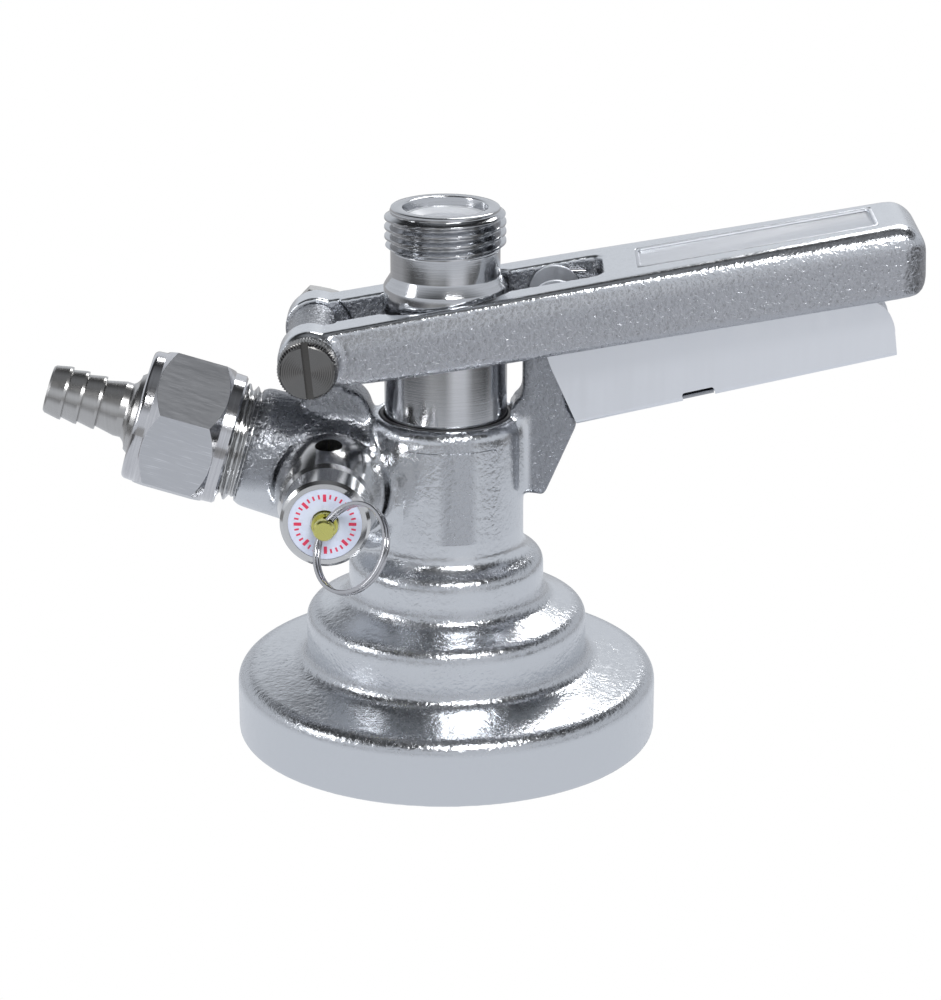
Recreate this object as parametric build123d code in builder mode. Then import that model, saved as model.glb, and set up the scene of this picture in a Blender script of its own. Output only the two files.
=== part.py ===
from build123d import *
import os
from math import cos, sin, tan, radians, sqrt

os.makedirs("parts", exist_ok=True)

# Keg coupler, slide-on pattern with a lever handle and a latch trigger.
# Frame: origin on the probe axis at the base's bottom plane, +Z up,
# +X towards the handle's grip, -Y towards the relief valve.

# ---------------------------------------------------------------- dimensions
# body casting
BASE_R, RING2_R, RING1_R, BODY_R = 40.8, 27.2, 18.85, 14.95
BODY_TOP = 64.5
THROAT_R, THROAT_H = 28.5, 4.5          # lip that passes under the keg flange
POCKET_R, POCKET_TOP = 33.5, 11.5       # pocket that holds the keg flange
SEAL_SEAT_R, SEAL_SEAT_TOP = 20.0, 16.5
CHAMBER_R = 13.0                        # gas chamber round the probe
GUIDE_R, GUIDE_BOTTOM = 11.76, 51.5     # probe guide bore
WIPER_R, WIPER_SEAT = 12.7, 62.3
EAR_T = 9.2                             # thickness of the cast ears
# lever pivot
PIV_X, PIV_Z = -25.0, 78.4
HUB_R, HUB_HALF = 5.2, 8.0
SCREW_R, HUB_BORE_R = 3.0, 3.06
# gas inlet, G5/8 male spigot with nut and hose barb
INL_X, INL_Z, INL_TILT = -50.06, 61.18, 16.5
BOSS_R = 11.7
BARB_R = 5.2
NUT_TURN = 21.6
G58_R, G58_CORE_R, G58_PITCH = 11.455, 10.30, 1.814
NUT_AF, NUT_IN, NUT_OUT = 25.6, -9.3, 9.2
# relief valve
RV_X, RV_Z = -21.6, 52.4
RV_RING_R, RV_CAP_R = 10.9, 8.35
STEM_R, STEM_BORE_R = 2.0, 2.06
# probe and outlet
PROBE_R = 11.69
CORE_R, GROOVE_LO, GROOVE_HI = 8.6, 78.0, 86.0
COLLAR_R, NECK_R = 11.69, 10.36
OUT_TOP = 104.6
# handle
TOP_X, TOP_Z, TOP_SLOPE = 14.0, 90.69, 0.1845
TIP_X = 89.3
SLOT_HALF, SLOT_END = 7.3, 29.5
LUG_R, LUG_Z = 3.6, 82.0
# trigger
TRG_HALF, TRG_T = 6.0, 1.05
TP_X, TP_Z, TP_R = 20.7, 86.9, 2.2
# pull ring
PR_C, PR_R = (-21.6, -33.3, 52.4), 8.3


def top_z(x):
    return TOP_Z + TOP_SLOPE * (x - TOP_X)


def bottom_z(x):
    return 78.05 + (0.168 if x > 13.3 else 0.135) * (x - 13.3)


def half_w(x):
    return 15.2 - (x + 25.0) * 2.6 / 115.5


tc, ts = cos(radians(INL_TILT)), sin(radians(INL_TILT))
INL_O = (INL_X, 0, INL_Z)
INL_AXIS = Axis(INL_O, (-tc, 0, ts))
# local X is the radius, local Y runs outwards along the inlet's axis
INL_PLANE = Plane(origin=INL_O, x_dir=(0, -1, 0), z_dir=(-ts, 0, -tc))
INL_CROSS = Plane(origin=INL_O, x_dir=(0, 1, 0), z_dir=(-tc, 0, ts))
RV_AXIS = Axis((RV_X, 0, RV_Z), (0, -1, 0))
# local X is the radius, local Y runs outwards along the relief valve's axis
RV_PLANE = Plane(origin=(RV_X, 0, RV_Z), x_dir=(1, 0, 0), z_dir=(0, 0, -1))
PIV_AXIS = Axis((PIV_X, 0, PIV_Z), (0, -1, 0))
PIV_PLANE = Plane(origin=(PIV_X, 0, PIV_Z), x_dir=(1, 0, 0), z_dir=(0, 0, -1))


def thread_points(core, crest, pitch, t0, n):
    """Ridged outline of n thread turns from t0 upwards, as (radius, t)."""
    pts = []
    for i in range(n):
        c = t0 + pitch * (i + 0.5)
        pts += [(core, c - pitch * 0.46), (crest, c - pitch * 0.10),
                (crest, c + pitch * 0.10), (core, c + pitch * 0.46)]
    return pts


# ---------------------------------------------------------------- body casting
with BuildPart() as body_casting:
    # stepped rings and barrel
    with BuildSketch(Plane.XZ):
        with BuildLine():
            Polyline((0, 0), (BASE_R - 0.6, 0), (BASE_R, 0.6), (BASE_R, 10.6))
            RadiusArc((BASE_R, 10.6), (37.6, 13.2), -3.0)
            Line((37.6, 13.2), (29.6, 14.5))
            RadiusArc((29.6, 14.5), (RING2_R, 17.0), 2.6)
            Line((RING2_R, 17.0), (RING2_R, 23.2))
            RadiusArc((RING2_R, 23.2), (24.6, 25.8), -2.8)
            Line((24.6, 25.8), (21.4, 27.0))
            RadiusArc((21.4, 27.0), (RING1_R, 29.6), 2.8)
            Line((RING1_R, 29.6), (RING1_R, 34.3))
            RadiusArc((RING1_R, 34.3), (17.1, 36.8), -2.6)
            RadiusArc((17.1, 36.8), (BODY_R, 39.6), 3.4)
            Line((BODY_R, 39.6), (BODY_R, 62.1))
            RadiusArc((BODY_R, 62.1), (13.1, BODY_TOP), -2.4)
            Polyline((13.1, BODY_TOP), (0, BODY_TOP), (0, 0))
        make_face()
    revolve(axis=Axis.Z)
    # gas inlet boss, a little wider towards the barrel
    with BuildSketch(INL_PLANE):
        with BuildLine():
            Polyline((0, -44.0), (12.6, -44.0), (12.6, -30.0), (BOSS_R + 0.35, -22.0),
                     (BOSS_R, -13.4), (BOSS_R - 0.5, -12.9), (G58_CORE_R, -12.9))
            Polyline([(G58_CORE_R, -12.9)]
                     + thread_points(G58_CORE_R, G58_R, G58_PITCH, -12.2, 7)
                     + [(G58_CORE_R, 1.0), (0, 1.0), (0, -44.0)])
        make_face()
    revolve(axis=INL_AXIS)
    # relief valve boss
    with BuildSketch(RV_PLANE):
        with BuildLine():
            Polyline((0, 0), (RV_RING_R + 1.2, 0), (RV_RING_R + 0.1, 6.5),
                     (RV_RING_R, 9.0), (RV_RING_R - 0.5, 9.5), (0, 9.5), (0, 0))
        make_face()
    revolve(axis=RV_AXIS)
    # left ear: web on the inlet boss, carrying the lever's pivot hub
    with BuildSketch(Plane.XZ):
        with BuildLine():
            Polyline((-26.8, 52.0), (-26.8, 66.5), (-30.1, 77.4), (-25.0, 80.0),
                     (-19.9, 77.4), (-19.3, 70.0))
            RadiusArc((-19.3, 70.0), (-14.0, 64.3), 5.4)
            Polyline((-14.0, 64.3), (-11.0, 56.0), (-11.0, 52.0), (-26.8, 52.0))
        make_face()
    extrude(amount=EAR_T / 2, both=True)
    with BuildSketch(Plane.XZ):
        with Locations((PIV_X, PIV_Z)):
            Circle(HUB_R)
    extrude(amount=HUB_HALF, both=True)
    # right ear: latch nose for the trigger
    with BuildSketch(Plane.XZ):
        with BuildLine():
            Polyline((11.5, 50.0), (18.9, 48.85), (25.1, 63.2), (24.9, 64.2), (23.4, 66.6),
                     (22.4, 78.4), (21.0, 80.0), (16.2, 80.0), (14.6, 78.4), (14.6, 68.6))
            RadiusArc((14.6, 68.6), (12.2, 64.6), -4.6)
            Polyline((12.2, 64.6), (11.5, 60.0), (11.5, 50.0))
        make_face()
    extrude(amount=EAR_T / 2, both=True)
    # cored and machined inside: throat, flange pocket, seal seat, gas chamber, guide
    with BuildSketch(Plane.XZ):
        with BuildLine():
            Polyline((0, -1), (THROAT_R + 1.0, -1), (THROAT_R + 1.0, 0), (THROAT_R, 1.0),
                     (THROAT_R, THROAT_H), (POCKET_R, THROAT_H), (POCKET_R, POCKET_TOP),
                     (SEAL_SEAT_R, POCKET_TOP), (SEAL_SEAT_R, SEAL_SEAT_TOP),
                     (CHAMBER_R, SEAL_SEAT_TOP), (CHAMBER_R, GUIDE_BOTTOM - 1.2),
                     (GUIDE_R, GUIDE_BOTTOM), (GUIDE_R, WIPER_SEAT), (WIPER_R, WIPER_SEAT),
                     (WIPER_R, 65.6), (13.0, 66.5), (13.0, 82.0), (0, 82.0), (0, -1))
        make_face()
    revolve(axis=Axis.Z, mode=Mode.SUBTRACT)
    # the slot that lets the coupler slide on to the keg flange from the back
    with BuildSketch(Plane.XY):
        with Locations((0, 25)):
            Rectangle(2 * THROAT_R, 50)
    extrude(amount=THROAT_H, mode=Mode.SUBTRACT)
    with BuildSketch(Plane.XY.offset(THROAT_H)):
        with Locations((0, 25)):
            Rectangle(2 * POCKET_R, 50)
    extrude(amount=POCKET_TOP - THROAT_H, mode=Mode.SUBTRACT)
    # gas inlet bore and its port into the chamber
    with BuildSketch(INL_PLANE):
        with BuildLine():
            Polyline((0, -42.0), (4.5, -42.0), (4.5, -24.0), (7.0, -21.5), (7.0, 0.4),
                     (7.6, 1.0), (7.6, 3.0), (0, 3.0), (0, -42.0))
        make_face()
    revolve(axis=INL_AXIS, mode=Mode.SUBTRACT)
    # relief valve port and threaded socket
    with BuildSketch(RV_PLANE):
        with BuildLine():
            Polyline((0, 0), (3.0, 0), (3.0, 6.0), (8.0, 6.0), (8.0, 9.5),
                     (RV_RING_R, 9.5), (RV_RING_R, 26.0), (0, 26.0), (0, 0))
        make_face()
    revolve(axis=RV_AXIS, mode=Mode.SUBTRACT)
    # pivot bore
    with BuildSketch(Plane.XZ):
        with Locations((PIV_X, PIV_Z)):
            Circle(HUB_BORE_R)
    extrude(amount=30, both=True, mode=Mode.SUBTRACT)
body_casting.part.label = "body_casting"
export_step(body_casting.part, "parts/body_casting.step")

# wiper seal on top of the barrel
with BuildPart() as probe_wiper:
    with BuildSketch(Plane.XZ):
        with BuildLine():
            Polyline((GUIDE_R, 62.32), (WIPER_R - 0.02, 62.32), (WIPER_R - 0.02, 64.9),
                     (12.2, 65.5), (11.95, 65.5), (GUIDE_R, 65.0), (GUIDE_R, 62.32))
        make_face()
    revolve(axis=Axis.Z)
probe_wiper.part.label = "probe_wiper"
export_step(probe_wiper.part, "parts/probe_wiper.step")

# face seal that the keg's neck presses on
with BuildPart() as keg_seal:
    with BuildSketch(Plane.XZ):
        with BuildLine():
            Polyline((14.4, 16.48), (19.95, 16.48), (19.95, 11.6), (18.6, 10.2), (16.0, 10.2),
                     (14.4, 12.2), (14.4, 16.48))
        make_face()
    revolve(axis=Axis.Z)
keg_seal.part.label = "keg_seal"
export_step(keg_seal.part, "parts/keg_seal.step")

# ---------------------------------------------------------------- gas inlet
with BuildPart() as inlet_nut:
    with BuildSketch(INL_CROSS.offset(NUT_IN)):
        RegularPolygon(NUT_AF / 2, 6, major_radius=False, rotation=NUT_TURN)
    extrude(amount=NUT_OUT - NUT_IN)
    # 45 degree chamfers run down to a turned collar at both ends
    with BuildSketch(INL_PLANE):
        with BuildLine():
            Polyline((0, NUT_IN), (12.2, NUT_IN), (12.6, NUT_IN + 0.4), (12.7, -6.85),
                     (14.85, -4.7), (14.85, 4.7), (12.7, 6.85), (12.6, NUT_OUT - 0.9))
            RadiusArc((12.6, NUT_OUT - 0.9), (11.7, NUT_OUT), -1.0)
            Polyline((11.7, NUT_OUT), (0, NUT_OUT), (0, NUT_IN))
        make_face()
    revolve(axis=INL_AXIS, mode=Mode.INTERSECT)
    with BuildSketch(INL_PLANE):
        with BuildLine():
            Polyline((0, -9.8), (11.9, -9.8), (11.9, NUT_IN + 0.4), (11.5, NUT_IN + 0.8),
                     (11.5, 5.6), (8.1, 5.6), (8.1, 9.6), (0, 9.6), (0, -9.8))
        make_face()
    revolve(axis=INL_AXIS, mode=Mode.SUBTRACT)
inlet_nut.part.label = "inlet_nut"
export_step(inlet_nut.part, "parts/inlet_nut.step")

with BuildPart() as inlet_washer:
    with BuildSketch(INL_PLANE):
        with BuildLine():
            Polyline((7.7, 1.02), (10.9, 1.02), (10.9, 2.98), (7.7, 2.98), (7.7, 1.02))
        make_face()
    revolve(axis=INL_AXIS)
inlet_washer.part.label = "inlet_washer"
export_step(inlet_washer.part, "parts/inlet_washer.step")

with BuildPart() as inlet_barb:
    with BuildSketch(INL_PLANE):
        with BuildLine():
            Polyline((3.2, 3.0), (10.9, 3.0), (10.9, 5.55), (8.0, 5.55), (8.0, 9.3), (7.3, 10.2))
            RadiusArc((7.3, 10.2), (BARB_R + 0.1, 11.4), 2.4)
            Polyline((BARB_R + 0.1, 11.4), (BARB_R + 0.15, 12.7), (4.5, 16.55),
                     (BARB_R, 16.55), (BARB_R, 17.05), (4.62, 20.05),
                     (BARB_R, 20.05), (BARB_R, 20.55), (4.68, 23.2),
                     (BARB_R, 23.2), (BARB_R, 23.7), (4.65, 26.4), (4.3, 26.8), (3.5, 26.8),
                     (3.2, 26.5), (3.2, 3.0))
        make_face()
    revolve(axis=INL_AXIS)
inlet_barb.part.label = "inlet_barb"
export_step(inlet_barb.part, "parts/inlet_barb.step")

# rubber gas check valve in the inlet bore
with BuildPart() as gas_check_valve:
    with BuildSketch(INL_PLANE):
        with BuildLine():
            Polyline((4.4, 0.98), (6.9, 0.98), (6.9, -1.2), (5.6, -2.0), (5.6, -6.5),
                     (2.4, -10.5), (0.4, -10.5), (4.4, -5.6), (4.4, 0.98))
        make_face()
    revolve(axis=INL_AXIS)
gas_check_valve.part.label = "gas_check_valve"
export_step(gas_check_valve.part, "parts/gas_check_valve.step")

# ---------------------------------------------------------------- relief valve
with BuildPart() as relief_housing:
    with BuildSketch(RV_PLANE):
        with BuildLine():
            Polyline((6.6, 6.05), (7.95, 6.05), (7.95, 9.55), (10.55, 9.55), (10.55, 10.6))
            ThreePointArc((10.55, 10.6), (10.1, 16.6), (8.75, 21.8))
            Polyline((8.75, 21.8), (8.2, 22.9), (5.6, 22.9), (5.6, 19.6), (6.6, 18.6), (6.6, 6.05))
        make_face()
    revolve(axis=RV_AXIS)
    # vents above and below
    with BuildSketch(Plane.XY.offset(RV_Z - 14)):
        with Locations((RV_X, -15.4)):
            Circle(2.6)
    extrude(amount=28, mode=Mode.SUBTRACT)
relief_housing.part.label = "relief_housing"
export_step(relief_housing.part, "parts/relief_housing.step")

with BuildPart() as relief_cap:
    with BuildSketch(RV_PLANE):
        with BuildLine():
            Polyline((STEM_BORE_R, 18.0), (5.55, 18.0), (5.55, 22.95), (7.9, 22.95),
                     (RV_CAP_R, 23.4), (RV_CAP_R, 30.4), (7.75, 31.0), (6.85, 31.0),
                     (6.85, 30.6), (STEM_BORE_R, 30.6), (STEM_BORE_R, 18.0))
        make_face()
    revolve(axis=RV_AXIS)
relief_cap.part.label = "relief_cap"
export_step(relief_cap.part, "parts/relief_cap.step")

with BuildPart() as relief_disc:
    with BuildSketch(RV_PLANE):
        with BuildLine():
            Polyline((2.7, 30.62), (6.8, 30.62), (6.8, 30.9), (2.7, 30.9), (2.7, 30.62))
        make_face()
    revolve(axis=RV_AXIS)
relief_disc.part.label = "relief_disc"
export_step(relief_disc.part, "parts/relief_disc.step")

RING_T = Vector(0.475, 0.184, 0.859).normalized()       # cross hole's direction
RING_D = Vector(0.624, -0.759, -0.182).normalized()     # towards the ring's centre
RING_N = RING_D.cross(RING_T)
with BuildPart() as relief_stem:
    with BuildSketch(RV_PLANE):
        with BuildLine():
            Polyline((0, 8.4), (5.0, 8.4), (5.0, 9.3), (STEM_R, 9.3), (STEM_R, 31.3),
                     (2.45, 31.3), (2.45, 32.1), (STEM_R, 32.1), (STEM_R, 34.6),
                     (1.7, 35.1), (0, 35.1), (0, 8.4))
        make_face()
    revolve(axis=RV_AXIS)
    with BuildSketch(Plane(origin=PR_C, x_dir=RING_D, z_dir=RING_T)):
        Circle(1.15)
    extrude(amount=5, both=True, mode=Mode.SUBTRACT)
relief_stem.part.label = "relief_stem"
export_step(relief_stem.part, "parts/relief_stem.step")

with BuildPart() as relief_poppet:
    with BuildSketch(RV_PLANE):
        with BuildLine():
            Polyline((0, 6.06), (4.6, 6.06), (5.0, 6.6), (5.0, 8.38), (0, 8.38), (0, 6.06))
        make_face()
    revolve(axis=RV_AXIS)
relief_poppet.part.label = "relief_poppet"
export_step(relief_poppet.part, "parts/relief_poppet.step")

# compression spring on the stem, five turns of round wire
with BuildPart() as relief_spring:
    for i in range(5):
        with BuildSketch(RV_PLANE):
            with Locations((4.0, 10.1 + 1.8 * i)):
                Circle(0.42)
        revolve(axis=RV_AXIS)
relief_spring.part.label = "relief_spring"
export_step(relief_spring.part, "parts/relief_spring.step")

# split ring: two flat turns side by side, threaded through the stem's cross hole
PR_O = Vector(*PR_C) + RING_D * PR_R
with BuildPart() as pull_ring:
    with BuildSketch(Plane(origin=PR_O, x_dir=RING_D, z_dir=RING_T)):
        with Locations((PR_R, 0)):
            RectangleRounded(0.85, 1.56, 0.2)
    revolve(axis=Axis(PR_O, RING_N))
pull_ring.part.label = "pull_ring"
export_step(pull_ring.part, "parts/pull_ring.step")

# ---------------------------------------------------------------- probe
with BuildPart() as probe_tube:
    with BuildSketch(Plane.XZ):
        with BuildLine():
            Polyline((5.5, 13.5), (8.0, 13.5), (8.4, 14.0), (8.4, 17.4), (10.4, 17.4),
                     (10.4, 19.0), (9.0, 20.4), (9.0, 52.6), (PROBE_R - 1.2, 54.2),
                     (PROBE_R, 55.4), (PROBE_R, 59.1), (9.9, 59.1), (9.9, 61.3),
                     (PROBE_R, 61.3), (PROBE_R, 77.6), (PROBE_R - 0.4, GROOVE_LO),
                     (8.05, GROOVE_LO), (8.05, 66.0), (5.5, 66.0), (5.5, 13.5))
        make_face()
    revolve(axis=Axis.Z)
probe_tube.part.label = "probe_tube"
export_step(probe_tube.part, "parts/probe_tube.step")

with BuildPart() as probe_tip_seal:
    with BuildSketch(Plane.XZ):
        with BuildLine():
            Polyline((8.42, 14.3), (9.6, 14.3), (10.6, 15.3), (10.6, 17.38), (8.42, 17.38),
                     (8.42, 14.3))
        make_face()
    revolve(axis=Axis.Z)
probe_tip_seal.part.label = "probe_tip_seal"
export_step(probe_tip_seal.part, "parts/probe_tip_seal.step")

with BuildPart() as probe_oring:
    with BuildSketch(Plane.XZ):
        with Locations((10.82, 60.2)):
            Circle(0.9)
    revolve(axis=Axis.Z)
probe_oring.part.label = "probe_oring"
export_step(probe_oring.part, "parts/probe_oring.step")

with BuildPart() as outlet_fitting:
    with BuildSketch(Plane.XZ):
        with BuildLine():
            Polyline([(5.5, 66.1), (8.0, 66.1), (8.0, GROOVE_LO + 0.02), (CORE_R, GROOVE_LO + 0.02),
                      (CORE_R, GROOVE_HI), (COLLAR_R - 0.3, GROOVE_HI), (COLLAR_R, GROOVE_HI + 0.3),
                      (COLLAR_R, 89.6), (NECK_R, 91.7), (NECK_R, 96.4)]
                     + thread_points(G58_CORE_R, G58_R, G58_PITCH, 96.54, 4)
                     + [(10.55, 104.2), (10.2, OUT_TOP), (8.3, OUT_TOP), (8.0, OUT_TOP - 0.3),
                        (8.0, 89.4), (5.6, 88.0), (5.5, 87.8), (5.5, 66.1)])
        make_face()
    revolve(axis=Axis.Z)
outlet_fitting.part.label = "outlet_fitting"
export_step(outlet_fitting.part, "parts/outlet_fitting.step")

# ball cage, pressed in the outlet's mouth, with a lip that stops the ball
with BuildPart() as outlet_liner:
    with BuildSketch(Plane.XZ):
        with BuildLine():
            Polyline((6.85, 93.0), (7.95, 93.0), (7.95, 102.8), (6.9, 102.8), (5.4, 102.0),
                     (5.4, 101.2), (6.85, 100.2), (6.85, 93.0))
        make_face()
    revolve(axis=Axis.Z)
outlet_liner.part.label = "outlet_liner"
export_step(outlet_liner.part, "parts/outlet_liner.step")

with BuildPart() as check_ball:
    with Locations((0, 0, 91.3)):
        Sphere(6.35)
check_ball.part.label = "check_ball"
export_step(check_ball.part, "parts/check_ball.step")

# ---------------------------------------------------------------- handle
with BuildPart() as handle_casting:
    # bar with straight sides and top edges whose rounding grows towards the grip
    for x, r in ((PIV_X, 1.0), (TOP_X, 1.3), (40.0, 1.8), (65.0, 2.5), (TIP_X + 3, 3.2)):
        w, zt, zb = half_w(x), top_z(x), bottom_z(x)
        q, k = r * (1 - 0.70711), 1.1
        with BuildSketch(Plane(origin=(x, 0, 0), x_dir=(0, 1, 0), z_dir=(1, 0, 0))):
            with BuildLine():
                Line((-w, zb + k), (-w, zt - r))
                ThreePointArc((-w, zt - r), (-w + q, zt - q), (-w + r, zt))
                Line((-w + r, zt), (w - r, zt))
                ThreePointArc((w - r, zt), (w - q, zt - q), (w, zt - r))
                Line((w, zt - r), (w, zb + k))
                Line((w, zb + k), (w - k, zb))
                Line((w - k, zb), (-w + k, zb))
                Line((-w + k, zb), (-w, zb + k))
            make_face()
    loft()
    # pivot bosses
    with BuildSketch(Plane.XZ):
        with Locations((PIV_X, PIV_Z)):
            Circle(6.0)
    extrude(amount=16.5, both=True)
    boss_rims = handle_casting.edges().filter_by(GeomType.CIRCLE).group_by(Axis.Y)
    fillet([boss_rims[0], boss_rims[-1]], radius=2.0)
    # grip end: rounded in plan, then from the side
    with BuildSketch(Plane.XY.offset(60)):
        with BuildLine():
            Polyline((-40, -20), (TIP_X - 5.5, -20), (TIP_X - 5.5, -12.75))
            ThreePointArc((TIP_X - 5.5, -12.75), (TIP_X - 1.4, -10.9), (TIP_X, -7.0))
            Line((TIP_X, -7.0), (TIP_X, 7.0))
            ThreePointArc((TIP_X, 7.0), (TIP_X - 1.4, 10.9), (TIP_X - 5.5, 12.75))
            Polyline((TIP_X - 5.5, 12.75), (TIP_X - 5.5, 20), (-40, 20), (-40, -20))
        make_face()
    extrude(amount=60, mode=Mode.INTERSECT)
    with BuildSketch(Plane.XZ):
        with BuildLine():
            b0, b1 = (TIP_X - 2.8, bottom_z(TIP_X - 2.8) - 0.02), (TIP_X, bottom_z(TIP_X) + 2.6)
            t0, t1 = (TIP_X - 0.4, top_z(TIP_X) - 5.2), (TIP_X - 5.2, top_z(TIP_X - 5.2) + 0.02)
            Polyline((-40, 60), (b0[0], 60), b0)
            RadiusArc(b0, b1, -3.0)
            Line(b1, t0)
            RadiusArc(t0, t1, -5.6)
            Polyline(t1, (t1[0], 130), (-40, 130), (-40, 60))
        make_face()
    extrude(amount=20, both=True, mode=Mode.INTERSECT)
    # slot for the probe and the ears, open at the pivot end
    with BuildSketch(Plane.XY.offset(60)):
        with BuildLine():
            Polyline((-40, -SLOT_HALF), (SLOT_END - 2.5, -SLOT_HALF))
            RadiusArc((SLOT_END - 2.5, -SLOT_HALF), (SLOT_END, -SLOT_HALF + 2.5), -2.5)
            Line((SLOT_END, -SLOT_HALF + 2.5), (SLOT_END, SLOT_HALF - 2.5))
            RadiusArc((SLOT_END, SLOT_HALF - 2.5), (SLOT_END - 2.5, SLOT_HALF), -2.5)
            Polyline((SLOT_END - 2.5, SLOT_HALF), (-40, SLOT_HALF), (-40, -SLOT_HALF))
        make_face()
        with Locations((0.2, 0)):
            SlotCenterToCenter(4.2, 24.3)
    extrude(amount=60, mode=Mode.SUBTRACT)
    # spot faces beside the hub
    with BuildSketch(Plane.XZ):
        with Locations((PIV_X, PIV_Z)):
            Circle(7.2)
    extrude(amount=HUB_HALF + 0.35, both=True, mode=Mode.SUBTRACT)
    # pocket underneath for the trigger
    with BuildSketch(Plane.XZ):
        with BuildLine():
            Polyline((24, 60), (24, top_z(24) - 3.6), (85.6, top_z(85.6) - 4.6), (85.6, 60),
                     (24, 60))
        make_face()
    extrude(amount=SLOT_HALF, both=True, mode=Mode.SUBTRACT)
    # lugs that drive the probe
    for s in (-1, 1):
        with BuildSketch(Plane(origin=(0, s * 9.0, LUG_Z), x_dir=(1, 0, 0), z_dir=(0, s, 0))):
            Circle(LUG_R)
        extrude(amount=4.4)
    # bare recessed panel on the grip's top
    with BuildSketch(Plane(origin=(58.0, 0, top_z(58.0)), x_dir=(cos(0.1824), 0, sin(0.1824)),
                           z_dir=(-sin(0.1824), 0, cos(0.1824)))):
        RectangleRounded(44.0, 12.5, 0.8)
    extrude(amount=-0.35, mode=Mode.SUBTRACT)
    # pivot bore and the two pin holes of the trigger
    with BuildSketch(Plane.XZ):
        with Locations((PIV_X, PIV_Z)):
            Circle(SCREW_R)
        with Locations((TP_X, TP_Z)):
            Circle(TP_R)
    extrude(amount=11.5, both=True, mode=Mode.SUBTRACT)
    with BuildSketch(Plane.XZ):
        with Locations((PIV_X, PIV_Z)):
            Circle(SCREW_R)
    extrude(amount=20, both=True, mode=Mode.SUBTRACT)
handle_casting.part.label = "handle_casting"
export_step(handle_casting.part, "parts/handle_casting.step")

with BuildPart() as pivot_screw:
    with BuildSketch(PIV_PLANE):
        with BuildLine():
            Polyline((0, -20.6), (2.5, -20.6), (SCREW_R, -20.1), (SCREW_R, 16.5), (5.2, 16.5),
                     (5.7, 17.0), (5.7, 20.6), (4.9, 21.5), (0, 21.5), (0, -20.6))
        make_face()
    revolve(axis=PIV_AXIS)
    with BuildSketch(Plane(origin=(PIV_X, -21.5, PIV_Z), x_dir=(-0.095, 0, 0.9955), z_dir=(0, -1, 0))):
        Rectangle(13, 1.4)
    extrude(amount=-1.5, mode=Mode.SUBTRACT)
pivot_screw.part.label = "pivot_screw"
export_step(pivot_screw.part, "parts/pivot_screw.step")

with BuildPart() as pivot_nut:
    with BuildSketch(Plane(origin=(PIV_X, 16.52, PIV_Z), x_dir=(1, 0, 0), z_dir=(0, 1, 0))):
        RegularPolygon(5.0, 6, major_radius=False, rotation=12)
        Circle(SCREW_R + 0.01, mode=Mode.SUBTRACT)
    extrude(amount=4.0)
    with BuildSketch(PIV_PLANE):
        with BuildLine():
            Polyline((0, -16.4), (5.0, -16.4), (5.8, -16.9), (5.8, -20.0), (5.0, -20.6),
                     (0, -20.6), (0, -16.4))
        make_face()
    revolve(axis=PIV_AXIS, mode=Mode.INTERSECT)
pivot_nut.part.label = "pivot_nut"
export_step(pivot_nut.part, "parts/pivot_nut.step")

# two stub pins that the trigger turns on, pressed in the arms
with BuildPart() as trigger_pins:
    for s in (-1, 1):
        with BuildSketch(Plane(origin=(TP_X, s * 4.97, TP_Z), x_dir=(1, 0, 0), z_dir=(0, s, 0))):
            Circle(TP_R)
        extrude(amount=6.3)
trigger_pins.part.label = "trigger_pins"
export_step(trigger_pins.part, "parts/trigger_pins.step")

# torsion springs round the stub pins, between the trigger and the arms
with BuildPart() as trigger_springs:
    for s in (-1, 1):
        with BuildSketch(Plane(origin=(TP_X, s * 6.65, TP_Z), x_dir=(0, 1, 0), z_dir=(1, 0, 0))):
            with Locations((0, 3.5)):
                Circle(0.45)
        revolve(axis=Axis((TP_X, 0, TP_Z), (0, 1, 0)))
        with BuildSketch(Plane(origin=(TP_X + 0.5, s * 6.65, TP_Z + 3.5), x_dir=(0, 1, 0),
                               z_dir=(1, 0, 0))):
            Circle(0.44)
        extrude(amount=5.4)
trigger_springs.part.label = "trigger_springs"
export_step(trigger_springs.part, "parts/trigger_springs.step")

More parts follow.
